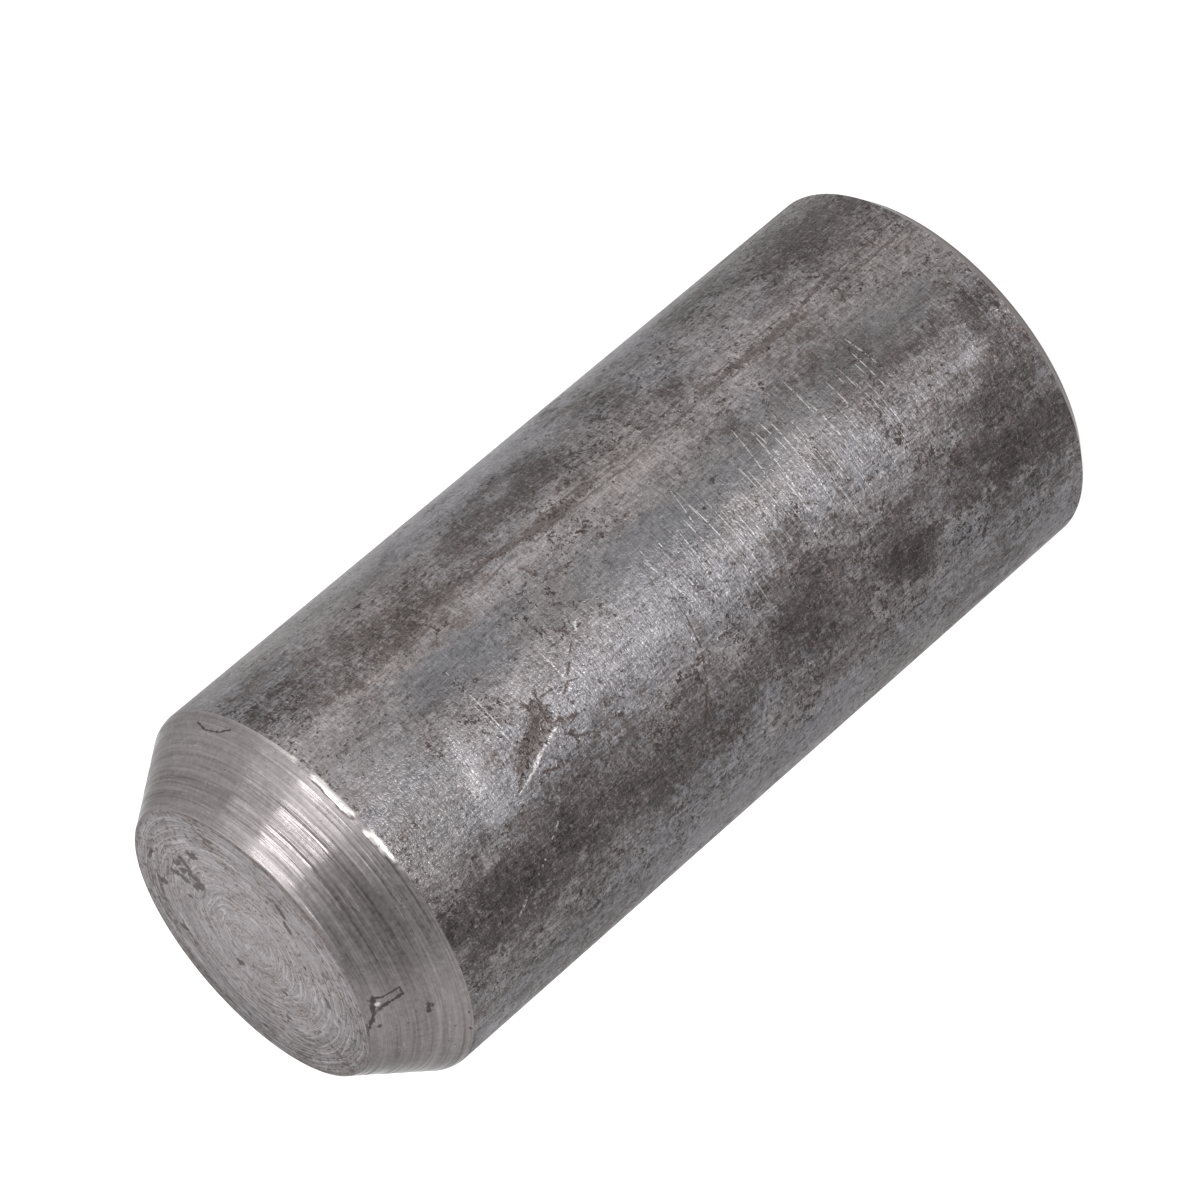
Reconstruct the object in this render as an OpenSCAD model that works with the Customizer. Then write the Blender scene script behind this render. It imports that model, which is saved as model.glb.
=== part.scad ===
// Plain dowel pin: a short solid steel bar turned from one piece.
// It stands on its foot end with +Z along its axis, and the origin is the centre of the foot's flat.
// The nose end has a long lead-in cone with the turning tool's rings left on it.

/* [Shank] */
// Diameter of the shank, which is what fits in the hole
pin_d = 16; // [12:0.5:25]
// Overall length, from the flat of the foot to the flat of the nose
pin_l = 36; // [24:1:100]

/* [Nose] */
// Length of the lead-in cone along the axis
nose_l = 3; // [2:0.1:4]
// Angle between the lead-in cone and the axis, in degrees
nose_angle = 35; // [15:1:45]
// Radius that rolls the cone into the shank
shoulder_r = 0.6; // [0.2:0.1:1.5]
// Radius that breaks the edge between the cone and the flat end
rim_r = 0.15; // [0.05:0.05:0.4]

/* [Foot] */
// Width of the small chamfer round the foot, measured along the axis
foot_chamfer = 0.5; // [0.2:0.1:1]
// Angle between the foot's chamfer and the axis, in degrees
foot_angle = 45; // [30:1:60]

/* [Turning marks] */
// Distance that the tool advanced along the cone in one turn
feed = 0.26; // [0.15:0.01:0.5]
// Radius of the tool's tip, which scoops a shallow hollow at each turn
tool_r = 0.4; // [0.3:0.05:1]

/* [Hidden] */

steel = [0.47, 0.46, 0.46];

pin_r = pin_d / 2;

// Flat of the nose, before its edge is broken
nose_flat_r = pin_r - nose_l * tan(nose_angle);
slope_l = nose_l / cos(nose_angle);

// Both edges of the cone are rolled over by arcs, and an arc takes this much of the faces it joins
rim_turn = 90 - nose_angle;
rim_tangent = rim_r * tan(rim_turn / 2);
shoulder_tangent = shoulder_r * tan(nose_angle / 2);

// Whole number of tool rings between the two rolled edges
ringed_l = slope_l - rim_tangent - shoulder_tangent;
rings = max(1, round(ringed_l / feed));
ring_l = ringed_l / rings;

// Half of the angle that the tool's tip sweeps in one hollow, and the depth of that hollow
scoop_angle = asin(ring_l / 2 / tool_r);
scoop_depth = tool_r * (1 - cos(scoop_angle));

foot_inset = foot_chamfer * tan(foot_angle);

arc_steps = 6;
scoop_steps = 4;

// A point of the outline at a distance along the cone from its sharp upper edge, and at a depth below it
function on_cone(along, depth = 0) =
    [nose_flat_r + along * sin(nose_angle) - depth * cos(nose_angle),
     pin_l - along * cos(nose_angle) - depth * sin(nose_angle)];

// An arc of the outline about a centre, between two directions measured from the radius towards the nose
function arc(centre, radius, from, to) =
    [for (i = [0:arc_steps])
        let (a = from + (to - from) * i / arc_steps)
        centre + radius * [cos(a), sin(a)]];

// Hollows that the tool's round tip left on the cone, from the shoulder up to the rim
function tool_hollows() =
    [for (ring = [1:rings], i = [1:scoop_steps])
        if (ring < rings || i < scoop_steps)
        let (a = scoop_angle * (1 - 2 * i / scoop_steps))
        on_cone(slope_l - shoulder_tangent - (ring - 0.5) * ring_l + tool_r * sin(a),
                scoop_depth - tool_r * (1 - cos(a)))];

// Half of the pin's section, from the axis at the foot round to the axis at the nose
function pin_outline() = concat(
    [[0, 0], [pin_r - foot_inset, 0], [pin_r, foot_chamfer]],
    arc([pin_r - shoulder_r, pin_l - nose_l - shoulder_tangent], shoulder_r, 0, nose_angle),
    tool_hollows(),
    arc([nose_flat_r - rim_tangent, pin_l - rim_r], rim_r, nose_angle, 90),
    [[0, pin_l]]);

module dowel_pin() {
    color(steel)
        rotate_extrude($fn = 120)
            polygon(pin_outline());
}

dowel_pin();
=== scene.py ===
import math

import bpy
import numpy as np
from mathutils import Matrix, Vector


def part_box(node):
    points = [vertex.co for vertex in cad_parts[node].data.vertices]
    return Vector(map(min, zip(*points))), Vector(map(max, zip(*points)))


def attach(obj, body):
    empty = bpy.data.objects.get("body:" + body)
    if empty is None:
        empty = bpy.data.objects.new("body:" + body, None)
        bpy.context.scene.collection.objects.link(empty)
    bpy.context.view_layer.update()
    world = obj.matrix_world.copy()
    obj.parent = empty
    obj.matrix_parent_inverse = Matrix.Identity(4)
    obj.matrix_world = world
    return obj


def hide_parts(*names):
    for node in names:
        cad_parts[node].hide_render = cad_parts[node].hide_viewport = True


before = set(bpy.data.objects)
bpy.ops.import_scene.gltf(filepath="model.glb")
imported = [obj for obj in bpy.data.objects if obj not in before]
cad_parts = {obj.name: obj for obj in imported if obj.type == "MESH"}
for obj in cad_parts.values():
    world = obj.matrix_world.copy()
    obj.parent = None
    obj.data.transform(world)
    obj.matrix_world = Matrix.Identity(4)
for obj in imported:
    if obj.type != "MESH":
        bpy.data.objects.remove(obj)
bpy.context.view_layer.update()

# Sizes in metres. The length comes from the imported solid, the rest repeat its drawing.
MM = 0.001
low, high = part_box("dowel_pin")
PIN_LENGTH = high[2] - low[2]
PIN_RADIUS = 8 * MM
NOSE_LENGTH = 3 * MM
NOSE_ANGLE = math.radians(35)
SHOULDER_RADIUS = 0.6 * MM
RIM_RADIUS = 0.15 * MM
FOOT_CHAMFER = 0.5 * MM

NOSE_TOP_RADIUS = PIN_RADIUS - NOSE_LENGTH * math.tan(NOSE_ANGLE)
SLOPE_LENGTH = NOSE_LENGTH / math.cos(NOSE_ANGLE)
SHOULDER_HEIGHT = PIN_LENGTH - NOSE_LENGTH
SHOULDER_TANGENT = SHOULDER_RADIUS * math.tan(NOSE_ANGLE / 2)
RIM_TANGENT = RIM_RADIUS * math.tan((math.pi / 2 - NOSE_ANGLE) / 2)

# Fineness of the mesh
COLUMNS = 360
SHANK_CUTS = 98
CONE_CUTS = 71
FACE_CUTS = 47
FOOT_CUTS = 5
SHOULDER_STEPS = 6
RIM_STEPS = 4

# Where marks are. Round the pin an angle of 0 faces the camera, and it grows towards +X.
SEED = 7


class Value:
    """A number inside a material, which Python's own operators work on by adding nodes."""

    def __init__(self, finish, socket):
        self.finish = finish
        self.socket = socket

    def math(self, operation, *others):
        operands = dict(enumerate((self, *others)))
        settings = {"operation": operation}
        return self.finish.node("ShaderNodeMath", settings, operands).value(0)

    def __add__(self, other):
        return self.math("ADD", other)

    def __sub__(self, other):
        return self.math("SUBTRACT", other)

    def __mul__(self, other):
        return self.math("MULTIPLY", other)

    def __truediv__(self, other):
        return self.math("DIVIDE", other)

    def __pow__(self, other):
        return self.math("POWER", other)

    def __neg__(self):
        return self * -1

    def __rsub__(self, other):
        return -self + other

    def __rtruediv__(self, other):
        return self.math("POWER", -1.0) * other

    __radd__ = __add__
    __rmul__ = __mul__

    def distance_from(self, other):
        return (self - other).math("ABSOLUTE")

    def rise(self, start, end):
        """0 below the start, 1 above the end and a smooth step between. A start above its end falls instead."""
        settings = {"interpolation_type": "SMOOTHSTEP"}
        if start < end:
            sockets = {"Value": self, "From Min": start, "From Max": end}
            return self.finish.node("ShaderNodeMapRange", settings, sockets).value(0)
        sockets = {"Value": self, "From Min": end, "From Max": start, "To Min": 1.0, "To Max": 0.0}
        return self.finish.node("ShaderNodeMapRange", settings, sockets).value(0)


class Built:
    """A node that has been made, and its outputs as values."""

    def __init__(self, finish, node):
        self.finish = finish
        self.node = node

    def value(self, name):
        return Value(self.finish, self.node.outputs[name])


class Finish:
    """A material made of nodes, with the coordinates that a turned pin needs."""

    def __init__(self, name, tree=None):
        if tree is None:
            material = bpy.data.materials.new(name)
            material.use_nodes = True
            tree = material.node_tree
            self.material = material
        self.tree = tree
        tree.nodes.clear()

    def node(self, kind, settings=None, sockets=None):
        made = self.tree.nodes.new(kind)
        for name, setting in (settings or {}).items():
            setattr(made, name, setting)
        for name, given in (sockets or {}).items():
            if isinstance(given, Value):
                self.tree.links.new(given.socket, made.inputs[name])
            else:
                made.inputs[name].default_value = given
        return Built(self, made)

    def vector_math(self, operation, *operands, output="Vector", **sockets):
        return self.node(
            "ShaderNodeVectorMath",
            {"operation": operation},
            {**dict(enumerate(operands)), **sockets},
        ).value(output)

    def stretched(self, place, x, y, z):
        return self.vector_math("MULTIPLY", place, (x, y, z))

    def noise(self, place, scale, detail=4.0, roughness=0.55, distortion=0.0):
        sockets = {
            "Vector": place,
            "Scale": scale,
            "Detail": detail,
            "Roughness": roughness,
            "Distortion": distortion,
        }
        return self.node("ShaderNodeTexNoise", {"noise_dimensions": "3D"}, sockets).value(0)

    def line_noise(self, along, scale, detail=2.0, roughness=0.6):
        sockets = {"W": along, "Scale": scale, "Detail": detail, "Roughness": roughness}
        return self.node("ShaderNodeTexNoise", {"noise_dimensions": "1D"}, sockets).value(0)

    def blend(self, factor, first, second, how="MIX"):
        settings = {"data_type": "RGBA", "blend_type": how}
        return self.node("ShaderNodeMix", settings, {0: factor, 6: first, 7: second}).value(2)

    def combined(self, x, y, z):
        return self.node("ShaderNodeCombineXYZ", {}, {0: x, 1: y, 2: z}).value(0)

    def attribute(self, name):
        return self.node("ShaderNodeAttribute", {"attribute_name": name}).value("Fac")

    def place_in_mm(self):
        here = self.node("ShaderNodeTexCoord").value("Object")
        return self.vector_math("MULTIPLY", here, (1000.0, 1000.0, 1000.0))

    def parts_of(self, place):
        split = self.node("ShaderNodeSeparateXYZ", {}, {0: place})
        return split.value(0), split.value(1), split.value(2)

    def widths_from(self, place, start, end, half_width):
        """Distance from a straight stroke between two places, counted in half widths of it."""
        start = Vector(start) / half_width
        run = Vector(end) / half_width - start
        scale = (1 / half_width,) * 3
        along = self.vector_math("MULTIPLY_ADD", place, scale, tuple(-start))
        share = self.vector_math("DOT_PRODUCT", along, tuple(run / run.length_squared), output="Value")
        share = share.math("MAXIMUM", 0.0).math("MINIMUM", 1.0)
        nearest = self.vector_math("SCALE", tuple(run), Scale=share)
        return self.vector_math("DISTANCE", along, nearest, output="Value")

    def metal(self, colour, roughness, normal, anisotropy, edge):
        shader = self.node(
            "ShaderNodeBsdfPrincipled",
            {"distribution": "GGX"},
            {
                "Base Color": colour,
                "Metallic": 1.0,
                "Roughness": roughness,
                "Normal": normal,
                "Anisotropic": anisotropy,
                "Anisotropic Rotation": 0.25,
                "Specular Tint": (edge, edge, edge, 1),
            },
        )
        self.node("ShaderNodeOutputMaterial", {}, {"Surface": shader.value(0)})
        return self.material


# The pin's mesh
def start_editing(tool="VERT"):
    bpy.ops.object.mode_set(mode="EDIT")
    bpy.ops.mesh.select_mode(type=tool)
    bpy.ops.mesh.select_all(action="DESELECT")


def stop_editing():
    bpy.ops.object.mode_set(mode="OBJECT")


def select_edges(pin, wanted):
    """Selects the edges whose two ends satisfy a test, in edge mode."""
    start_editing("EDGE")
    stop_editing()
    mesh = pin.data
    places = [v.co for v in mesh.vertices]
    for edge in mesh.edges:
        first, second = (places[i] for i in edge.vertices)
        edge.select = wanted(first, second)
    bpy.ops.object.mode_set(mode="EDIT")


def near(a, b, within=1e-6):
    return abs(a - b) < within


def select_ring(pin, height):
    select_edges(pin, lambda a, b: near(a.z, height) and near(b.z, height))


def select_slopes(pin, bottom, top):
    """Selects the edges that run from one height up to another."""

    def runs_between(a, b):
        return near(min(a.z, b.z), bottom) and near(max(a.z, b.z), top)

    select_edges(pin, runs_between)


def select_spokes(pin, height):
    def runs_to_axis(a, b):
        level = near(a.z, height) and near(b.z, height)
        return level and min(math.hypot(*a.xy), math.hypot(*b.xy)) < 1e-6

    select_edges(pin, runs_to_axis)


def select_cap(pin, height):
    start_editing("FACE")
    stop_editing()
    for face in pin.data.polygons:
        face.select = near(face.center.z, height) and abs(face.normal.z) > 0.99
    bpy.ops.object.mode_set(mode="EDIT")


def turned_blank():
    """The pin's form, turned from a bar: foot chamfer, shank, rolled shoulder, cone, rim and both flats."""
    bpy.ops.object.select_all(action="DESELECT")
    bpy.ops.mesh.primitive_cylinder_add(
        vertices=COLUMNS,
        radius=PIN_RADIUS,
        depth=PIN_LENGTH,
        end_fill_type="NGON",
        location=(0, 0, PIN_LENGTH / 2),
    )
    pin = bpy.context.object
    pin.name = "turned_pin"
    bpy.ops.object.transform_apply(location=True, rotation=True, scale=True)

    select_cap(pin, PIN_LENGTH)
    bpy.ops.transform.translate(value=(0, 0, -NOSE_LENGTH))
    bpy.ops.mesh.extrude_region_move(TRANSFORM_OT_translate={"value": (0, 0, NOSE_LENGTH)})
    narrowing = NOSE_TOP_RADIUS / PIN_RADIUS
    bpy.ops.transform.resize(value=(narrowing, narrowing, 1), center_override=(0, 0, PIN_LENGTH))
    stop_editing()

    for height, width, steps in (
        (SHOULDER_HEIGHT, SHOULDER_TANGENT, SHOULDER_STEPS),
        (PIN_LENGTH, RIM_TANGENT, RIM_STEPS),
        (0.0, FOOT_CHAMFER, 1),
    ):
        select_ring(pin, height)
        bpy.ops.mesh.bevel(offset=width, offset_type="OFFSET", segments=steps, profile=0.5)
        stop_editing()

    cone_foot = SHOULDER_HEIGHT + SHOULDER_TANGENT * math.cos(NOSE_ANGLE)
    cone_top = PIN_LENGTH - RIM_TANGENT * math.cos(NOSE_ANGLE)
    for bottom, top, cuts in (
        (FOOT_CHAMFER, SHOULDER_HEIGHT - SHOULDER_TANGENT, SHANK_CUTS),
        (cone_foot, cone_top, CONE_CUTS),
    ):
        select_slopes(pin, bottom, top)
        bpy.ops.mesh.subdivide(number_cuts=cuts)
        stop_editing()

    for height, cuts in ((PIN_LENGTH, FACE_CUTS), (0.0, FOOT_CUTS)):
        select_cap(pin, height)
        bpy.ops.mesh.poke()
        stop_editing()
        select_spokes(pin, height)
        bpy.ops.mesh.subdivide(number_cuts=cuts)
        stop_editing()

    start_editing()
    bpy.ops.mesh.select_all(action="SELECT")
    bpy.ops.mesh.remove_doubles(threshold=1e-7)
    bpy.ops.mesh.normals_make_consistent(inside=False)
    stop_editing()
    return pin


# Wear in the metal itself. Places on the shank are millimetres round it from the side that faces the camera,
# counted towards +X, and millimetres up from the foot.
SHANK_MARKS = {
    "gouge_lip": [(-2.07, 27.74), (-1.1, 24.95)],
    "beaded_scratch": [(-5.87, 30.0), (-3.8, 27.0)],
    "dark_scratch": [(-0.63, 24.6), (1.18, 22.0)],
}


def wrapped(angle):
    return (angle + np.pi) % (2 * np.pi) - np.pi


def smooth(t):
    t = np.clip(t, 0, 1)
    return t * t * (3 - 2 * t)


def stroke_distance(u, v, start, end):
    """Distance of each place from a straight stroke, and how far along it the nearest point lies."""
    run_u, run_v = end[0] - start[0], end[1] - start[1]
    share = ((u - start[0]) * run_u + (v - start[1]) * run_v) / (run_u**2 + run_v**2)
    share = np.clip(share, 0, 1)
    return np.hypot(u - start[0] - share * run_u, v - start[1] - share * run_v), share


class Places:
    """Where each point of the mesh lies on the pin, in millimetres and radians."""

    def __init__(self, mesh):
        count = len(mesh.vertices)
        self.co = np.empty(count * 3)
        mesh.vertices.foreach_get("co", self.co)
        self.co = self.co.reshape(-1, 3) / MM
        x, y, self.height = self.co.T
        self.radius = np.hypot(x, y)
        self.angle = np.arctan2(x, -y)
        self.round = self.angle * PIN_RADIUS / MM
        self.slope = (PIN_LENGTH / MM - self.height) / math.cos(NOSE_ANGLE)
        top, shoulder = PIN_LENGTH / MM, SHOULDER_HEIGHT / MM
        self.on_face = self.height > top - 1e-4
        self.on_cone = (self.height > shoulder) & ~self.on_face
        self.on_shank = (self.height <= shoulder) & (self.height > FOOT_CHAMFER / MM)

    def push(self, mesh, outward, upward):
        """Moves the points away from the axis and up, in millimetres, and stores them."""
        away = np.where(self.radius > 1e-6, outward / np.maximum(self.radius, 1e-6), 0)
        self.co[:, 0] += self.co[:, 0] * away
        self.co[:, 1] += self.co[:, 1] * away
        self.co[:, 2] += upward
        mesh.vertices.foreach_set("co", (self.co * MM).ravel())
        mesh.update()


def tool_rings(along, pitch, depth, seed):
    """Depth of hollows left side by side by a turning tool, each with its own depth."""
    rng = np.random.default_rng(seed)
    depths = depth * rng.uniform(0.35, 1.0, 400)
    ring = np.floor(along / pitch).astype(int) % 400
    across = along / pitch - np.floor(along / pitch)
    return depths[ring] * 4 * across * (1 - across)


def wear(mesh):
    here = Places(mesh)
    outward = np.zeros(len(here.radius))
    upward = np.zeros(len(here.radius))

    drift = 0.05 * np.sin(here.angle - 0.6)
    rings = tool_rings(here.slope + drift, 0.27, 0.009, SEED) + tool_rings(here.slope, 0.76, 0.010, SEED + 1)
    ends = smooth((here.slope - 0.1) / 0.15) * smooth((SLOPE_LENGTH / MM - 0.25 - here.slope) / 0.15)
    cut = np.where(here.on_cone, -rings * ends, 0)
    outward += cut * math.cos(NOSE_ANGLE)
    upward += cut * math.sin(NOSE_ANGLE)

    face_rings = tool_rings(here.radius + 0.04 * here.angle / np.pi, 0.36, 0.014, SEED + 2)
    near_rim = smooth((NOSE_TOP_RADIUS / MM - 0.12 - here.radius) / 0.2)
    upward -= np.where(here.on_face, face_rings * near_rim, 0)

    lip, share = stroke_distance(here.round, here.height, *SHANK_MARKS["gouge_lip"])
    scoop_u, scoop_v = here.round + 0.75, here.height - 25.45
    scoop = np.exp(-((scoop_u / 0.5) ** 2) - (scoop_v / 0.6) ** 2)
    scoop += 0.5 * np.exp(-(((here.round + 1.05) / 0.3) ** 2) - ((here.height - 26.4) / 0.8) ** 2)
    on_shank = here.on_shank.astype(float)
    outward += on_shank * (0.05 * np.exp(-((lip / 0.13) ** 2)) * (0.4 + share) - 0.11 * scoop)

    pressed = here.height - 28.65 + 0.164 * here.round
    reach = np.exp(-((here.round / 2.4) ** 4))
    outward += on_shank * reach * 0.03 * np.exp(-((pressed / 0.45) ** 2))

    for name, depth, width in (("beaded_scratch", 0.05, 0.16), ("dark_scratch", 0.05, 0.13)):
        far, share = stroke_distance(here.round, here.height, *SHANK_MARKS[name])
        beads = 0.5 + 0.5 * np.sin(share * 34)
        outward -= on_shank * depth * beads * np.exp(-((far / width) ** 2))

    here.push(mesh, outward, upward)


# Patches of mill scale on the shank, and a long faint band of painted shade: place round it, height, half width,
# half height and strength
SCALE_AND_SHADE_PATCHES = [
    (-4.5, 31.9, 1.35, 1.6, 1.0),
    (-4.8, 31.1, 0.9, 1.2, 0.9),
    (-3.8, 33.0, 0.7, 0.6, 0.4),
    (-4.6, 29.1, 1.2, 1.6, 0.97),
    (-5.5, 28.8, 0.5, 2.5, 0.35),
    (-3.4, 27.8, 0.5, 0.8, 0.4),
    (2.4, 28.7, 0.6, 1.1, 0.35),
    (-3.1, 28.0, 0.7, 1.0, 0.3),
    (-4.4, 27.0, 1.2, 1.8, 0.95),
    (-4.9, 24.2, 1.0, 2.2, 0.75),
    (-3.0, 25.0, 0.8, 1.6, 0.45),
    (-3.1, 22.3, 0.7, 1.0, 0.35),
    (-5.0, 21.5, 0.9, 2.2, 0.5),
    (-3.9, 20.0, 1.3, 0.8, 0.4),
    (-5.0, 18.0, 0.8, 1.1, 0.5),
    (-4.4, 14.0, 1.9, 1.5, 0.85),
    (-2.6, 13.9, 1.0, 0.8, 0.5),
    (-5.0, 9.3, 1.4, 1.3, 0.95),
    (-0.7, 10.2, 0.9, 0.6, 0.4),
    (-4.9, 3.5, 1.3, 1.9, 0.9),
    (-2.9, 3.3, 1.2, 1.7, 0.95),
    (-5.6, 1.3, 2.0, 0.9, 0.4),
    (-2.0, 1.9, 1.5, 1.2, 0.8),
    (0.4, 1.5, 1.6, 1.0, 0.6),
    (1.4, 4.2, 1.1, 1.4, 0.6),
    (-0.9, 4.4, 0.6, 0.8, 0.35),
    (1.5, 6.5, 1.4, 1.6, 0.4),
    (3.1, 8.0, 1.3, 1.2, 0.35),
    (2.7, 11.8, 1.0, 0.6, 0.35),
    (7.2, 31.5, 1.2, 1.5, 0.5),
    (4.9, 27.4, 0.5, 1.7, 0.3),
    (3.0, 28.0, 0.7, 1.0, 0.3),
    (6.3, 27.2, 1.0, 1.9, 0.5),
    (5.5, 23.6, 0.6, 1.3, 0.4),
    (7.2, 20.6, 1.0, 2.6, 0.7),
    (7.4, 17.9, 1.1, 1.5, 0.5),
    (9.0, 13.9, 0.9, 0.8, 0.2),
    (7.0, 13.2, 1.6, 1.2, 0.4),
    (4.8, 12.3, 1.7, 0.7, 0.4),
    (9.6, 8.4, 1.3, 4.5, 0.45),
    (7.2, 3.2, 1.4, 2.0, 0.4),
    (-8.6, 27.0, 0.9, 2.2, 0.12),
    (9.0, 24.0, 0.8, 1.3, 0.25),
    (-7.2, 11.0, 0.8, 1.5, 0.3),
    (-9.0, 4.5, 1.2, 1.6, 0.3),
    (11.2, 14.6, 1.0, 1.2, 0.4),
    # Painted shade: a faint band down the whole shank, on the side that mirrors darker surroundings.
    (-5.2, 17.0, 1.7, 16.0, 0.25),
]

# Places that handling has rubbed clean of scale, which are also painted brighter and bluish as a highlight where
# the lamps' sheen falls, in the same terms
RUBBED_AND_SHEEN_PATCHES = [
    (-2.1, 28.95, 0.8, 0.4, 0.9),
    (-0.3, 28.55, 1.2, 0.42, 1.0),
    (1.0, 28.35, 0.5, 0.3, 0.5),
    (1.7, 30.6, 1.2, 0.6, 0.3),
    (-0.5, 23.9, 1.1, 1.6, 0.5),
    (-1.6, 27.9, 0.7, 0.8, 0.3),
    (-0.5, 16.0, 1.1, 15.0, 0.25),
    (0.0, 19.5, 1.4, 2.0, 0.25),
    (0.2, 11.2, 1.3, 2.4, 0.8),
    (-0.6, 3.2, 0.45, 1.1, 0.8),
    (-7.0, 13.0, 1.2, 2.4, 0.25),
    (-5.3, 6.3, 1.2, 0.7, 0.25),
    (4.2, 31.4, 1.6, 1.8, 0.4),
    (1.8, 32.2, 1.9, 1.0, 0.55),
    (-9.8, 32.0, 1.5, 1.2, 0.5),
    (0.3, 25.8, 1.0, 1.6, 0.4),
    (4.4, 20.5, 0.8, 6.0, 0.55),
    (5.5, 19.4, 0.35, 1.3, 0.6),
    (5.0, 8.5, 0.9, 4.5, 0.4),
    (6.9, 9.4, 1.1, 1.5, 0.35),
    (10.9, 18.0, 2.2, 18.0, 0.7),
    (10.8, 26.0, 0.8, 1.0, 0.3),
    (-9.2, 22.5, 1.5, 8.0, 0.35),
    (3.9, 9.0, 0.8, 7.0, 0.2),
]

# Smooth bands where the steel shows bluish, painted darker too as shade beside the lamps' highlight
SMOOTH_AND_SHADE_PATCHES = [
    (2.9, 26.1, 1.1, 2.0, 1.0),
    (0.9, 30.6, 2.0, 1.1, 0.5),
    (-0.6, 29.6, 1.0, 0.5, 0.5),
    (-1.2, 31.2, 1.1, 1.6, 0.5),
    (1.85, 17.4, 1.15, 4.8, 1.0),
    (3.0, 28.3, 1.0, 1.2, 0.8),
    (2.3, 4.4, 1.2, 2.1, 0.9),
    (1.8, 12.5, 0.7, 1.5, 0.6),
    (1.9, 8.5, 0.9, 3.6, 0.7),
    (-9.5, 20.0, 0.9, 8.0, 0.4),
    (8.6, 24.0, 0.8, 5.0, 0.25),
]

# Stretches along the drawing seam where the steel has a warm tan
TAN_PATCHES = [
    (4.4, 28.8, 0.9, 4.2, 1.0),
    (4.6, 24.9, 0.9, 2.0, 0.9),
    (4.5, 17.0, 1.3, 5.0, 0.9),
    (4.7, 8.5, 1.2, 4.5, 0.7),
    (4.9, 1.8, 1.5, 1.6, 0.7),
    (6.4, 26.5, 1.5, 3.6, 0.8),
]


def more_patches(patches, count, seed):
    """Patches of the same kinds for the side that the camera doesn't see."""
    rng = np.random.default_rng(seed)
    half_round = math.pi * PIN_RADIUS / MM
    chosen = []
    for _ in range(count):
        kind = patches[rng.integers(len(patches))]
        place = half_round + rng.uniform(-1, 1) * (half_round - 13)
        chosen.append((place, rng.uniform(1, SHOULDER_HEIGHT / MM), *kind[2:]))
    return chosen


def wander(here, seed):
    """A gentle wander over the surface that joins up round the pin. Its usual size is 1."""
    rng = np.random.default_rng(seed)
    total = np.zeros(len(here.angle))
    for _ in range(14):
        waves = rng.integers(-34, 35)
        total += np.sin(waves * here.angle + rng.uniform(-2.2, 2.2) * here.height + rng.uniform(0, 6.3))
    return total / math.sqrt(7)


def paint(mesh, name, patches):
    """Stores on each point how much of a kind of patch lies there. The patches have wandering outlines."""
    here = Places(mesh)
    amount = np.zeros(len(here.radius))
    sideways = 0.2 * wander(here, SEED + 11)
    upwards = 0.3 * wander(here, SEED + 12)
    for place, height, half_width, half_height, strength in patches:
        off = wrapped(here.angle - place * MM / PIN_RADIUS) * PIN_RADIUS / MM + sideways * half_width
        rise = here.height - height + upwards * min(half_height, 1.5)
        spot = np.exp(-((off / half_width) ** 2) - (rise / half_height) ** 2)
        amount = amount + strength * spot * (1 - amount)
    mesh.attributes.new(name, "FLOAT", "POINT").data.foreach_set("value", amount.astype(np.float32))


# Stretches of the burr along the shoulder, which also carries a painted highlight: angle of the two ends in
# radians, half width and strength
BURR_STRETCHES = [
    (-0.14, -0.06, 0.08, 0.7),
    (-0.08, 0.06, 0.17, 1.0),
    (0.14, 0.41, 0.14, 1.0),
    (0.42, 0.45, 0.05, 0.5),
    (0.49, 0.55, 0.1, 0.5),
    (0.55, 0.585, 0.06, 0.4),
]


def raise_burr(mesh):
    """Turns up a broken burr along the shoulder, and stores where it is, for the painted highlight on it."""
    here = Places(mesh)
    amount = np.zeros(len(here.radius))
    off_line = np.abs(here.slope - 3.62 + 0.05 * np.sin(here.angle * 9) + 0.02 * np.sin(here.angle * 70))
    for start, end, half_width, strength in BURR_STRETCHES:
        along = smooth((here.angle - start) / 0.02) * smooth((end - here.angle) / 0.02)
        across = smooth((half_width + 0.03 - off_line) / 0.06)
        amount = np.maximum(amount, strength * along * across)
    mesh.attributes.new("burr_glint", "FLOAT", "POINT").data.foreach_set("value", amount.astype(np.float32))
    here.push(mesh, 0.03 * amount, 0.03 * amount)


pin = turned_blank()
paint(pin.data, "scale_and_shade_patch", SCALE_AND_SHADE_PATCHES + more_patches(SCALE_AND_SHADE_PATCHES, 34, SEED))
paint(pin.data, "rubbed_and_sheen_patch", RUBBED_AND_SHEEN_PATCHES + more_patches(RUBBED_AND_SHEEN_PATCHES, 8, SEED + 1))
paint(pin.data, "smooth_and_shade_patch", SMOOTH_AND_SHADE_PATCHES + more_patches(SMOOTH_AND_SHADE_PATCHES, 8, SEED + 2))
paint(pin.data, "tan_patch", TAN_PATCHES + more_patches(TAN_PATCHES, 6, SEED + 3))
wear(pin.data)
raise_burr(pin.data)
bpy.ops.object.shade_smooth_by_angle(angle=math.radians(30))
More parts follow.
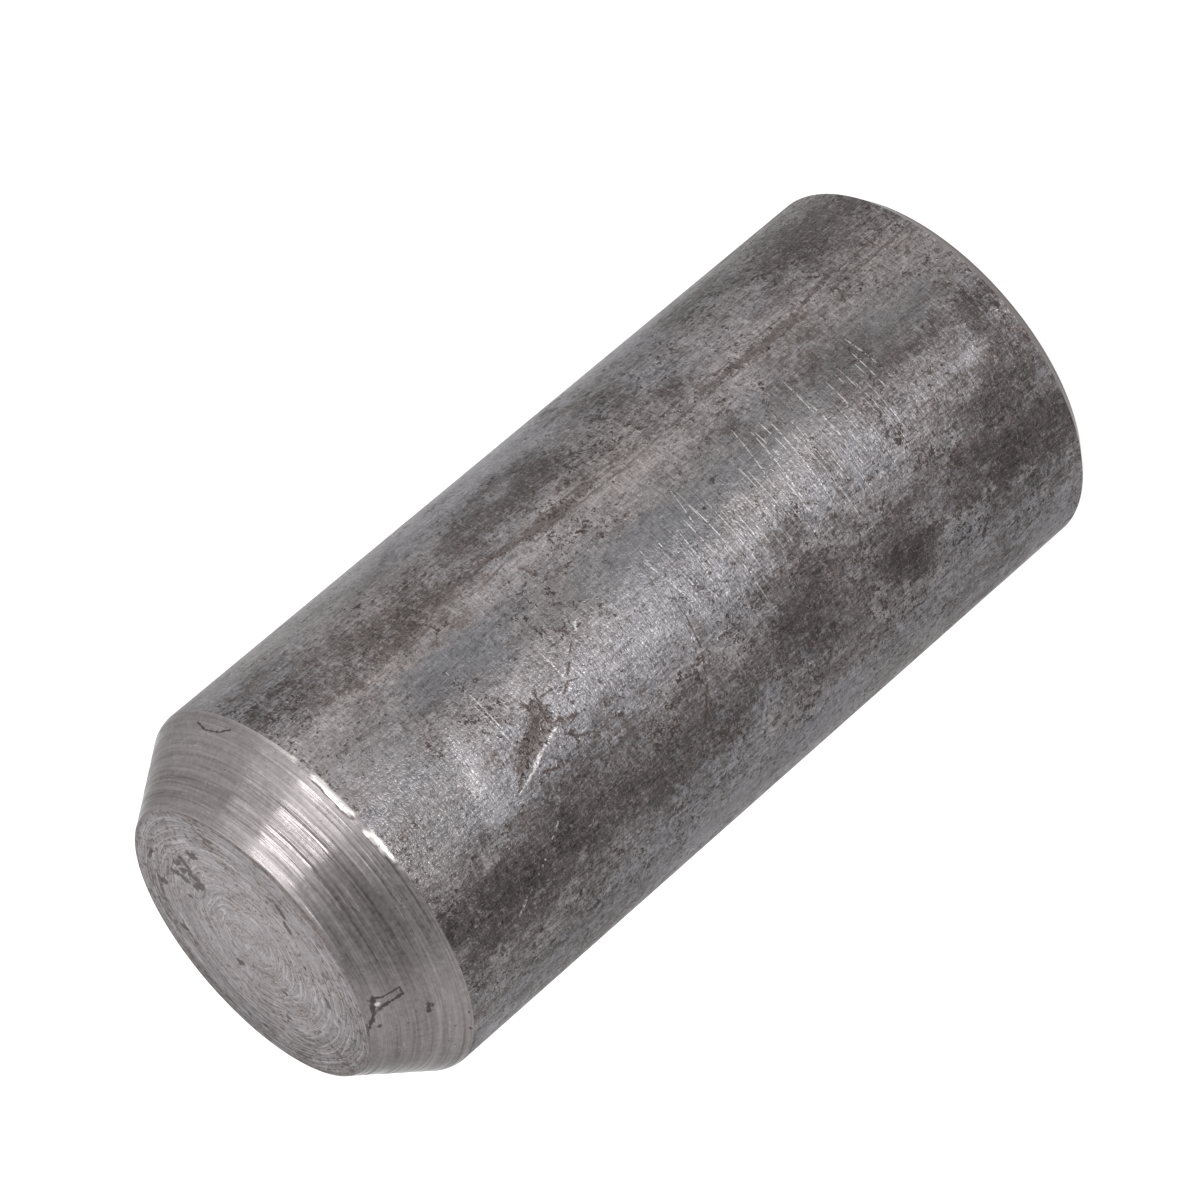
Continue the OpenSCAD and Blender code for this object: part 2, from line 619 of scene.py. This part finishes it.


# Lines and scars on the shank, as place round it and height of the two ends and a half width. The first list is
# painted near white, partly bare scratched steel and partly the lamps' glint in it.
GLINTING_LINES = [
    (-2.07, 27.74, -1.77, 26.81, 0.08),
    (-1.77, 26.81, -1.45, 26.19, 0.1),
    (-1.45, 26.19, -1.2, 25.4, 0.07),
    (-1.2, 25.4, -1.13, 25.05, 0.06),
    (-3.82, 27.03, -3.97, 27.23, 0.045),
    (-4.13, 27.45, -4.22, 27.6, 0.035),
    (-4.63, 28.12, -4.65, 28.14, 0.05),
    (-4.77, 28.34, -4.79, 28.36, 0.05),
    (-4.92, 28.61, -4.94, 28.63, 0.055),
    (-5.24, 29.1, -5.3, 29.2, 0.035),
    (-5.45, 29.5, -5.55, 29.65, 0.055),
    (-5.7, 29.85, -5.78, 29.95, 0.055),
    (1.78, 26.78, 0.1, 26.76, 0.033),
    (2.93, 26.77, 2.0, 26.82, 0.025),
    (1.27, 26.96, -0.7, 26.8, 0.025),
    (1.38, 23.76, 0.06, 23.7, 0.035),
    (2.78, 6.25, 1.28, 6.07, 0.035),
    (3.09, 9.25, 1.44, 9.35, 0.03),
    (2.92, 12.14, 0.37, 12.57, 0.035),
    (2.37, 11.68, -1.2, 12.05, 0.03),
    (2.26, 10.86, -1.35, 11.09, 0.035),
    (1.72, 10.25, -0.27, 10.35, 0.03),
    (1.05, 22.1, 1.25, 21.95, 0.08),
    (1.9, 30.8, 0.6, 31.2, 0.018),
    (2.7, 15.6, 1.25, 15.9, 0.03),
    (1.4, 16.58, -0.3, 16.72, 0.035),
    (1.3, 18.4, -0.8, 18.0, 0.03),
]
GOUGE = [
    (-0.1, 25.3, -0.55, 25.75, 0.34),
    (-0.5, 25.2, -1.0, 25.5, 0.22),
    (-0.75, 25.9, -0.98, 26.6, 0.28),
    (-1.0, 25.7, -1.3, 26.5, 0.22),
    (-1.15, 26.5, -1.5, 27.2, 0.2),
    (-1.5, 27.2, -2.0, 27.7, 0.1),
]
SEAM_STREAKS = [
    (5.28, 22.4, 5.05, 20.6, 0.2),
    (4.95, 20.5, 4.88, 18.4, 0.34),
    (4.9, 18.1, 5.0, 17.1, 0.18),
    (4.88, 11.6, 4.82, 9.3, 0.27),
    (4.8, 9.4, 4.84, 6.6, 0.3),
    (4.95, 6.4, 5.3, 4.0, 0.12),
]
DARK_LINES = [
    (0.42, 24.87, -0.01, 25.09, 0.1),
    (-0.01, 25.09, -0.49, 25.06, 0.22),
    (-0.49, 25.06, -0.86, 25.03, 0.2),
    (-0.86, 25.03, -1.11, 24.66, 0.17),
    (-1.11, 24.66, -1.24, 24.15, 0.13),
    (0.32, 25.58, -0.02, 25.5, 0.09),
    (-0.4, 25.3, -0.75, 25.75, 0.17),
    (0.04, 24.9, -0.01, 24.19, 0.06),
    (-0.5, 24.27, -0.17, 23.68, 0.07),
    (-0.17, 23.68, -0.31, 23.29, 0.06),
    (-1.81, 24.74, -2.21, 23.82, 0.09),
    (-2.04, 26.53, -2.2, 26.07, 0.09),
    (0.05, 23.5, 0.3, 23.15, 0.06),
    (0.55, 22.9, 0.95, 22.35, 0.06),
    (1.2, 22.45, 1.5, 22.7, 0.1),
    (-5.0, 20.25, -3.6, 19.3, 0.07),
    (-3.6, 19.3, -2.3, 18.75, 0.06),
    (-2.3, 18.75, -1.0, 18.5, 0.05),
    (10.2, 14.5, 10.9, 14.6, 0.2),
]


# Cracks on the cone, as angle in degrees and distance down from the rim of the two ends and a half width
CONE_CRACKS = [
    (-56.5, 0.0, -48.3, 0.37, 0.09),
    (-48.3, 0.37, -44.1, 0.39, 0.13),
    (-44.1, 0.39, -41.5, 0.5, 0.13),
    (-48.3, 0.37, -46.7, 0.66, 0.12),
    (-46.7, 0.66, -43.5, 1.53, 0.09),
    (-41.5, 0.5, -42.7, 0.8, 0.07),
    (-42.7, 0.8, -40.8, 1.51, 0.055),
    (-40.8, 1.51, -43.5, 1.53, 0.05),
    (-51.3, 2.22, -50.9, 2.3, 0.2),
    (-53.0, 2.19, -52.8, 2.19, 0.12),
    (-51.8, 0.22, -51.7, 0.22, 0.1),
    (-55.1, 0.45, -54.8, 0.48, 0.1),
    (-57.7, 3.6, -57.0, 3.55, 0.06),
    (-65.2, 3.6, -64.2, 3.55, 0.06),
    (52.0, 3.35, 56.0, 3.13, 0.05),
    (56.0, 3.13, 62.0, 3.08, 0.06),
    (62.0, 3.08, 66.5, 3.3, 0.05),
    (90.0, 3.3, 92.5, 3.35, 0.06),
]

# Pits on the nose face, as x and y of the two ends and a half width
FACE_PITS = [
    (2.72, -0.1, 2.78, 0.45, 0.17),
    (2.95, -0.15, 3.25, 0.1, 0.15),
    (3.2, 0.65, 3.4, 0.85, 0.16),
    (3.6, 0.95, 3.8, 1.15, 0.14),
    (3.5, 0.25, 3.55, 0.5, 0.13),
    (3.85, 0.15, 3.95, 0.5, 0.13),
    (3.4, -0.2, 3.95, -0.2, 0.14),
    (3.35, -0.05, 3.5, 0.15, 0.1),
    (2.65, 1.4, 2.7, 1.5, 0.09),
    (3.7, 2.45, 3.85, 2.6, 0.16),
    (3.65, -1.35, 3.75, -1.1, 0.17),
    (-0.3, 1.85, -0.2, 1.95, 0.15),
    (4.72, 2.1, 4.85, 1.35, 0.08),
    (1.9, 3.9, 2.05, 4.0, 0.14),
    (-2.9, 1.8, -2.8, 1.85, 0.1),
    (-2.15, 0.5, -2.05, 0.55, 0.08),
    (-3.45, -1.9, -3.2, -2.15, 0.12),
    (-0.5, -3.75, -0.2, -3.85, 0.12),
    (0.0, -4.2, 0.5, -4.4, 0.11),
    (-5.05, -3.0, -4.72, -3.55, 0.07),
]


# Finishes. Lengths in them are millimetres.
def relief(finish, height, depth, normal=None):
    sockets = {"Strength": 1.0, "Distance": depth * MM, "Height": height}
    if normal is not None:
        sockets["Normal"] = normal
    return finish.node("ShaderNodeBump", {}, sockets).value(0)


def marked(finish, place, strokes, ragged):
    """1 on a set of strokes and 0 off them. Each is a start, an end and a half width."""
    nearest = None
    for stroke in strokes:
        far = finish.widths_from(place, *stroke)
        nearest = far if nearest is None else nearest.math("MINIMUM", far)
    return (nearest + ragged).rise(1.0, 0.4)


def hairlines(finish, round_place, height, spacing, half_width):
    """Straight scratches round the shank, one in each band of height, with its own place, length and height. They
    are kept near the front, round the lamps' highlight, and are painted bright there as its glint.
    """
    band = (height / spacing).math("FLOOR")
    chance = finish.node("ShaderNodeTexWhiteNoise", {"noise_dimensions": "1D"}, {"W": band}).value("Color")
    first, second, third = finish.parts_of(chance)
    middle = (band + 0.1 + first * 0.8) * spacing + (round_place - second * 3.0) * (third - 0.5) * 0.02
    off_line = (height - middle).distance_from(0.0).rise(half_width, half_width * 0.3)
    reach = first * third * 2.8 + 0.35
    off_end = (round_place - second * 3.7 + 1.8).distance_from(0.0)
    crowded = (height - 12.5).distance_from(0.0).rise(8.0, 3.0)
    return off_line * (reach * crowded - off_end).rise(0.0, 0.3) * (second * 0.9 + 0.3)


def unrolled(strokes):
    return [((a, b, 0.0), (c, d, 0.0), half_width) for a, b, c, d, half_width in strokes]


def around_half(value, amount):
    """A noise, which lies about 0.5, as a change up or down."""
    return (value - 0.5) * amount


def rubbed_shank():
    """Bare steel that shows through broken mill scale, hatched round it by turning and along it by drawing."""
    finish = Finish("rubbed_shank")
    place = finish.place_in_mm()
    x, y, height = finish.parts_of(place)
    round_place = x.math("ARCTAN2", -y) * (PIN_RADIUS / MM)

    broad = finish.noise(finish.stretched(place, 0.2, 0.2, 0.13), 1.0, 2.0)
    mottle = finish.noise(place, 1.1, 3.0, 0.6)
    specks = finish.noise(place, 3.0, 2.0, 0.65)
    grain = finish.noise(place, 7.3, 1.0, 0.6, 1.3)
    streaks = finish.noise(finish.stretched(place, 1.5, 1.5, 0.05), 1.0, 4.0, 0.65)
    round_marks = finish.noise(finish.stretched(place, 2.0, 2.0, 10.0), 1.0, 2.0, 0.65)
    long_marks = finish.noise(finish.stretched(place, 11.0, 11.0, 2.2), 1.0, 2.0, 0.65)
    drawn = finish.noise(finish.stretched(place, 4.5, 4.5, 0.3), 1.0, 2.0, 0.65)
    turns = finish.noise(place, 4.4, 1.0)

    patch = finish.attribute("scale_and_shade_patch")
    rubbed_and_sheen = finish.attribute("rubbed_and_sheen_patch")
    smooth_and_shade = finish.attribute("smooth_and_shade_patch")
    tan = finish.attribute("tan_patch")
    calm = (smooth_and_shade + rubbed_and_sheen * 0.8).math("MINIMUM", 1.0)
    broken = around_half(mottle, 1.2) + around_half(specks, 2.1) + around_half(grain, 1.6)
    cover = patch * 0.85 - rubbed_and_sheen * 0.3 - smooth_and_shade * 0.25 + around_half(broad, 0.9) + around_half(streaks, 1.0)
    cover = cover + broken * (1 - calm * 0.6)
    scale = cover.rise(-0.25, 0.46)

    crowding = finish.noise(place, 0.5, 1.0)
    holes = specks * 0.7 + grain * 0.45 + crowding * 0.35 + scale * 0.03 - calm * 0.05
    holes = holes.rise(0.86, 0.95)

    flecks = (grain + around_half(crowding, 0.7) - calm * 0.08).rise(0.64, 0.70)
    bright_curls = turns.distance_from(0.46).rise(0.045, 0.01) * specks.rise(0.44, 0.58)
    dark_curls = turns.distance_from(0.56).rise(0.045, 0.01) * specks.rise(0.56, 0.44)

    wobble = around_half(finish.line_noise(height, 0.35), 0.5)
    from_seam = (round_place - wobble - 4.9).distance_from(0.0)
    seam_gaps = finish.line_noise(height, 0.6, 3.0)
    seam = from_seam.distance_from(0.3).rise(0.08, 0.02) * seam_gaps.rise(0.38, 0.54)
    seam_flecks = finish.noise(finish.stretched(place, 5.0, 5.0, 2.6), 1.0, 2.0).rise(0.56, 0.63)
    seam = (seam + seam_flecks * from_seam.rise(1.1, 0.2) * 0.6).math("MINIMUM", 1.0) * height.rise(28.5, 24.0)

    ragged = around_half(grain, 3.0) + around_half(specks, 2.0)
    flat = finish.combined(round_place, height, 0.0)
    glinting_lines = marked(finish, flat, unrolled(GLINTING_LINES), ragged)
    long_lines = hairlines(finish, round_place, height, 0.41, 0.03)
    short_lines = hairlines(finish, round_place, height, 0.27, 0.022)
    worn_through = finish.noise(place, 4.0, 1.0)
    faint_lines = hairlines(finish, round_place + 0.4, height, 0.19, 0.02)
    fine_lines = (long_lines + short_lines + faint_lines * 0.6) * worn_through.rise(0.40, 0.52) * 0.9
    glinting_lines = (glinting_lines * grain.rise(0.42, 0.50) + fine_lines).math("MINIMUM", 1.0)
    tarnish = marked(finish, flat, unrolled(GOUGE), ragged)
    streaked_seam = marked(finish, flat, unrolled(SEAM_STREAKS), ragged)
    dark = marked(finish, flat, unrolled(DARK_LINES), ragged) * specks.rise(0.36, 0.46)

    warm = finish.noise(finish.stretched(place, 0.35, 0.35, 0.12), 1.0, 2.0).rise(0.4, 0.6)
    steel = finish.blend(warm, (0.202, 0.193, 0.203, 1), (0.212, 0.195, 0.195, 1))
    # Rubbed places: less scale, and a painted bluish-white highlight tint.
    steel = finish.blend(rubbed_and_sheen * 0.5, steel, (0.202, 0.198, 0.210, 1))
    steel = finish.blend(tan * 0.8, steel, (0.236, 0.211, 0.207, 1))
    # Smooth bands: bluish calm steel, partly painted shade beside the highlight.
    steel = finish.blend(smooth_and_shade * 0.85, steel, (0.130, 0.130, 0.136, 1))
    crust = finish.blend(mottle.rise(0.4, 0.6), (0.066, 0.058, 0.0575, 1), (0.098, 0.087, 0.086, 1))
    crust = finish.blend(tan * 0.8, crust, (0.104, 0.087, 0.081, 1))
    colour = finish.blend(scale, steel, crust)
    shade = around_half(specks, 0.9) + around_half(grain, 1.6) + around_half(round_marks, 1.0)
    shade = shade + around_half(long_marks, 1.6) + around_half(streaks, 0.5) + around_half(drawn, 0.45)
    shade = shade + bright_curls * (0.44 + scale * 0.6) - dark_curls * 0.36
    # The rubbed places are also painted brighter, as a highlight.
    shade = shade * (1 - calm * 0.45) + rubbed_and_sheen * 0.35 - patch.rise(0.7, 1.0) * 0.16 + 1.0
    tone = shade.math("MAXIMUM", 0.3)
    colour = finish.vector_math("SCALE", colour, Scale=tone)
    seam_brown = finish.vector_math("SCALE", (0.094, 0.079, 0.076), Scale=tone)
    colour = finish.blend(seam * 0.65, colour, (0.084, 0.071, 0.066, 1))
    colour = finish.blend(streaked_seam * 0.86, colour, seam_brown)
    colour = finish.blend(flecks * 0.5, colour, (0.060, 0.049, 0.046, 1))
    colour = finish.blend(holes * 0.75, colour, (0.045, 0.036, 0.034, 1))
    brown = finish.vector_math("SCALE", (0.098, 0.080, 0.073), Scale=around_half(grain, 3.5) + 0.9)
    colour = finish.blend(tarnish * 0.85, colour, brown)
    colour = finish.blend(dark * 0.85, colour, (0.062, 0.048, 0.043, 1))
    # Painted highlight: scratches painted near white, partly bare steel and partly the lamps' glint in them.
    colour = finish.blend(glinting_lines * 0.7, colour, (0.55, 0.525, 0.515, 1))
    # Painted highlight: the burr painted near white, partly polished steel and partly the lamps' glint on it.
    colour = finish.blend(finish.attribute("burr_glint") * grain.rise(0.33, 0.42), colour, (0.64, 0.61, 0.59, 1))

    roughness = scale * 0.12 + around_half(grain, 0.3) - rubbed_and_sheen * 0.06 - bright_curls * 0.06 + 0.38
    height_map = specks * 0.42 + grain * 0.5 + round_marks * 0.5 + long_marks * 0.3
    return finish.metal(colour, roughness, relief(finish, height_map, 0.06), 0.6, 0.65)


def ring_place(finish, x, y, radius, along, fineness, length):
    """Coordinates in which a noise makes rings round the axis that fade in and out."""
    around = length / radius
    return finish.combined(x * around, y * around, along * fineness)


def radius_of(x, y):
    return (x * x + y * y).math("SQRT").math("MAXIMUM", 0.02)


def contour_lines(value, levels, thickness):
    """Thin lines where a noise passes evenly spaced levels."""
    return (value * levels).math("PINGPONG", 0.5).rise(thickness, 0.0)


def cone_place(angle, slope):
    """The place on the cone at an angle in degrees and so many millimetres down from the rim."""
    radius = NOSE_TOP_RADIUS / MM + slope * math.sin(NOSE_ANGLE)
    turn = math.radians(angle)
    return (radius * math.sin(turn), -radius * math.cos(turn), PIN_LENGTH / MM - slope * math.cos(NOSE_ANGLE))


def turned_cone():
    """Bright steel with the turning tool's rings, a forked crack and a few pits."""
    finish = Finish("turned_cone")
    place = finish.place_in_mm()
    x, y, height = finish.parts_of(place)
    radius = radius_of(x, y)
    rings = finish.noise(ring_place(finish, x, y, radius, height, 1.6, 0.45), 1.0, 1.0)
    lines = finish.noise(ring_place(finish, x, y, radius, height, 5.0, 0.9), 1.0, 2.0, 0.6)
    hairs = finish.noise(ring_place(finish, x, y, radius, height, 13.0, 1.5), 1.0, 2.0, 0.6)
    arcs = contour_lines(lines, 9.0, 0.08) * finish.noise(place, 1.1, 2.0).rise(0.44, 0.6)
    grain = finish.noise(place, 5.0, 3.0, 0.65)
    specks = finish.noise(place, 2.4, 3.0, 0.65)
    crowding = finish.noise(place, 0.7, 1.0)
    holes = (specks * 0.8 + grain * 0.4 + crowding * 0.35).rise(0.94, 1.0)
    ragged = around_half(grain, 3.0) + around_half(specks, 2.0)
    strokes = [(cone_place(a, b), cone_place(c, d), half_width) for a, b, c, d, half_width in CONE_CRACKS]
    crack = marked(finish, place, strokes, ragged * 0.8)
    glint = finish.widths_from(place, cone_place(-44.9, 0.55), cone_place(-44.7, 0.6), 0.1).rise(1.0, 0.5)
    # Painted shade: the foot's chamfer is painted darker, as it faces down away from the lamps.
    foot = height.rise(2.0, 1.0)
    shaded = (x / radius).distance_from(-0.3).rise(0.47, 0.12)
    burr_glint = finish.attribute("burr_glint") * grain.rise(0.33, 0.42)

    steel = finish.blend(rings.rise(0.4, 0.6), (0.232, 0.209, 0.210, 1), (0.250, 0.229, 0.231, 1))
    shade = around_half(rings, 0.3) + around_half(lines, 0.5) + around_half(hairs, 1.0) + around_half(grain, 0.75)
    shade = shade + arcs * 0.45 - shaded * 0.42 + 1.0
    colour = finish.vector_math("SCALE", steel, Scale=shade.math("MAXIMUM", 0.3))
    colour = finish.blend(holes * 0.6, colour, (0.06, 0.048, 0.045, 1))
    colour = finish.blend(crack * 0.8, colour, (0.045, 0.034, 0.030, 1))
    colour = finish.blend(glint, colour, (0.60, 0.59, 0.60, 1))
    colour = finish.blend(foot, colour, (0.205, 0.180, 0.177, 1))
    # Painted highlight: the burr painted near white, partly polished steel and partly the lamps' glint on it.
    colour = finish.blend(burr_glint, colour, (0.64, 0.61, 0.59, 1))
    roughness = around_half(rings, 0.5) + around_half(lines, 0.8) + 0.235
    roughness = roughness.math("MAXIMUM", 0.14).math("MINIMUM", 0.5)
    height_map = rings * 0.15 + lines * 0.6 + hairs * 0.25 + grain * 0.02
    return finish.metal(colour, roughness, relief(finish, height_map, 0.06), 0.6, 0.55)


def faced_end():
    """Steel faced flat, with arcs left by the tool, brown flecks and a cluster of pits."""
    finish = Finish("faced_end")
    place = finish.place_in_mm()
    x, y, height = finish.parts_of(place)
    radius = radius_of(x, y)
    rings = finish.noise(ring_place(finish, x, y, radius, radius, 1.9, 1.0), 1.0, 1.0)
    lines = finish.noise(ring_place(finish, x, y, radius, radius, 5.5, 2.0), 1.0, 2.0, 0.6)
    grain = finish.noise(place, 4.5, 4.0, 0.65)
    mottle = finish.noise(place, 0.8, 3.0, 0.6)
    flecks = finish.noise(ring_place(finish, x, y, radius, radius, 8.0, 18.0), 1.0, 2.0, 0.6)
    phase = radius + around_half(rings, 1.1)
    light_arcs = contour_lines(phase, 5.6, 0.24) * lines.rise(0.36, 0.52)
    dark_arcs = contour_lines(phase + 0.06, 5.6, 0.22) * grain.rise(0.62, 0.46)
    curls = finish.noise(place, 3.2, 1.0).distance_from(0.5).rise(0.03, 0.0)
    outer = radius.rise(3.2, 5.4)
    brown = (flecks + around_half(mottle, 0.4) + around_half(grain, 0.3) + outer * 0.03).rise(0.60, 0.65)
    ragged = around_half(grain, 3.0) - 0.3
    top = PIN_LENGTH / MM
    strokes = [((a, b, top), (c, d, top), half_width) for a, b, c, d, half_width in FACE_PITS]
    pits = marked(finish, place, strokes, ragged)

    steel = finish.blend(mottle.rise(0.35, 0.65), (0.363, 0.338, 0.350, 1), (0.338, 0.303, 0.305, 1))
    shade = around_half(rings, 0.4) + around_half(lines, 0.7) + around_half(grain, 1.0) - outer * 0.22 + 1.0
    # Painted light: the face is painted lighter on the side towards the lamps and darker on the far side.
    shade = shade + x * 0.018 - y * 0.028
    shade = shade + light_arcs * 0.38 - dark_arcs * 0.32 - curls * 0.2 + radius.rise(1.6, 0.2) * 0.06
    colour = finish.vector_math("SCALE", steel, Scale=shade)
    colour = finish.blend(brown * 0.65, colour, (0.10, 0.075, 0.068, 1))
    colour = finish.blend(pits * 0.85, colour, (0.07, 0.056, 0.052, 1))
    colour = finish.blend(radius.rise(5.68, 5.85) * 0.5, colour, (0.15, 0.122, 0.115, 1))
    roughness = around_half(grain, 0.3) + brown * 0.15 + 0.34
    height_map = lines * 0.4 + grain * 0.3
    return finish.metal(colour, roughness, relief(finish, height_map, 0.04), 0.4, 0.8)


def dress(pin):
    """Gives each face of the mesh the finish of its part of the pin."""
    for make in (rubbed_shank, turned_cone, faced_end):
        pin.data.materials.append(make())
    count = len(pin.data.polygons)
    middles = np.empty(count * 3)
    normals = np.empty(count * 3)
    pin.data.polygons.foreach_get("center", middles)
    pin.data.polygons.foreach_get("normal", normals)
    height = middles.reshape(-1, 3)[:, 2]
    upright = np.abs(normals.reshape(-1, 3)[:, 2])
    finish = np.where(height > SHOULDER_HEIGHT - 0.3 * SHOULDER_TANGENT, 1, 0)
    finish = np.where(upright > 0.8, 2, finish)
    finish = np.where((height < FOOT_CHAMFER) & (upright <= 0.8), 1, finish)
    pin.data.polygons.foreach_set("material_index", finish.astype(np.int32))


dress(pin)
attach(pin, "root")
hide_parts("dowel_pin")


# Floor, surroundings and lamps
def seen_or_reflected(finish):
    """1 for what the camera sees and what metal mirrors, and 0 for light on its way to a surface."""
    path = finish.node("ShaderNodeLightPath")
    kinds = ("Is Camera Ray", "Is Glossy Ray", "Is Transmission Ray")
    camera, glossy, through = (path.value(kind) for kind in kinds)
    return camera.math("MAXIMUM", glossy).math("MAXIMUM", through)


FLOOR_SIZE = 6.0
FLOOR_GLOW = 0.75
AMBIENT = 0.45

bpy.ops.object.select_all(action="DESELECT")
bpy.ops.mesh.primitive_plane_add(size=FLOOR_SIZE, location=(0, 0, 0))
floor = bpy.context.object
floor.name = "floor"
paper = Finish("white_paper")
white = (0.85, 0.85, 0.85, 1)
matt = paper.node("ShaderNodeBsdfDiffuse", {}, {"Color": white})
glow = paper.node(
    "ShaderNodeEmission",
    {},
    {"Color": (1, 1, 1, 1), "Strength": seen_or_reflected(paper) * FLOOR_GLOW},
)
both = paper.node("ShaderNodeAddShader", {}, {0: matt.value(0), 1: glow.value(0)})
paper.node("ShaderNodeOutputMaterial", {}, {"Surface": both.value(0)})
floor.data.materials.append(paper.material)

world = bpy.data.worlds.new("studio")
bpy.context.scene.world = world
world.use_nodes = True
room = Finish("studio", world.node_tree)
strength = seen_or_reflected(room) * (1 - AMBIENT) + AMBIENT
sky = room.node("ShaderNodeBackground", {}, {"Color": (1, 1, 1, 1), "Strength": strength})
room.node("ShaderNodeOutputWorld", {}, {"Surface": sky.value(0)})


def lamp(name, azimuth, elevation, distance, width, height, strength):
    """A soft box that faces the pin's middle. Its strength is what a mirror would show of it."""
    light = bpy.data.lights.new(name, "AREA")
    light.shape = "RECTANGLE"
    light.size = width
    light.size_y = height
    light.energy = strength * math.pi * width * height
    box = bpy.data.objects.new(name, light)
    bpy.context.collection.objects.link(box)
    a, e = math.radians(azimuth), math.radians(elevation)
    way = Vector((math.sin(a) * math.cos(e), -math.cos(a) * math.cos(e), math.sin(e)))
    middle = Vector((0, 0, PIN_LENGTH / 2))
    box.location = middle + way * distance
    box.rotation_euler = way.to_track_quat("Z", "Y").to_euler()
    box.visible_camera = False
    return box


lamp("low_box", -6, 7, 0.6, 0.12, 0.12, 31.0)
lamp("high_box", 34, 42, 0.6, 0.34, 0.15, 4.3)
lamp("high_side_box", 64, 42, 0.6, 0.45, 0.15, 1.0)
lamp("side_box", 64, 5, 0.7, 0.30, 0.09, 5.0)

# Camera, at the photograph's viewing angle. The pin stands, and the picture is turned, as the photograph was.
PHOTO_SIDE = 1200
FOCAL_PIXELS = 5996
TURN = -0.7054
LOOK_DOWN = 0.4395
NOSE_RIGHT, NOSE_DOWN = -349.2, 344.7
NOSE_DEPTH = 26.415 * PIN_RADIUS

forward = Vector((0, math.cos(LOOK_DOWN), -math.sin(LOOK_DOWN)))
upward = Vector((0, math.sin(LOOK_DOWN), math.cos(LOOK_DOWN)))
picture_right = math.sin(TURN) * Vector((1, 0, 0)) - math.cos(TURN) * upward
picture_down = forward.cross(picture_right)
nose = Vector((0, 0, PIN_LENGTH))
sideways = picture_right * NOSE_RIGHT + picture_down * NOSE_DOWN
eye = nose - forward * NOSE_DEPTH - sideways * (NOSE_DEPTH / FOCAL_PIXELS)

lens = bpy.data.cameras.new("camera")
lens.sensor_width = 36
lens.lens = FOCAL_PIXELS / PHOTO_SIDE * lens.sensor_width
lens.clip_start = 0.01
lens.clip_end = 20
camera = bpy.data.objects.new("camera", lens)
bpy.context.collection.objects.link(camera)
turned = Matrix((picture_right, -picture_down, -forward)).transposed().to_4x4()
camera.matrix_world = Matrix.Translation(eye) @ turned
bpy.context.scene.camera = camera

bpy.context.scene.view_settings.view_transform = "Standard"
